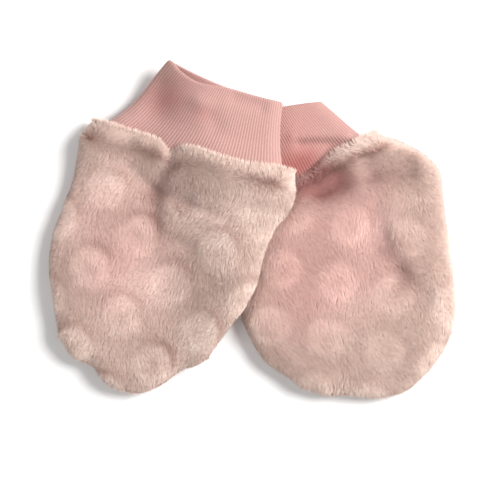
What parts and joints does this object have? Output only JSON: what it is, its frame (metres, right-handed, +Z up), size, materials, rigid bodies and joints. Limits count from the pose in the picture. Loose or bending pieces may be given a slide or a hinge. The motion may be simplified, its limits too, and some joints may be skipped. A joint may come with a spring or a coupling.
{
  "type": "pair of baby scratch mittens",
  "caption": "Thumbless baby scratch mittens in dotted plush with rib-knit cuffs, laid flat with one lapping over the other.",
  "frame": {"origin": "middle of the laid-out pair's footprint, on the surface it lies on", "axes": "+X across the pair from the left mitten to the right one, +Y towards the cuffs, +Z up from the surface"},
  "size_m": [0.1454, 0.1195, 0.0254],
  "materials": {
    "plush": "short dense pile, cream tips over pink roots, matte",
    "rib_knit": "fine rib knit, matte, pink"
  },
  "bodies": {
    "root": {"left_front_panel": "plush", "left_back_panel": "plush", "left_cuff": "rib_knit", "right_front_panel": "plush", "right_back_panel": "plush", "right_cuff": "rib_knit"}
  },
  "joints": []
}
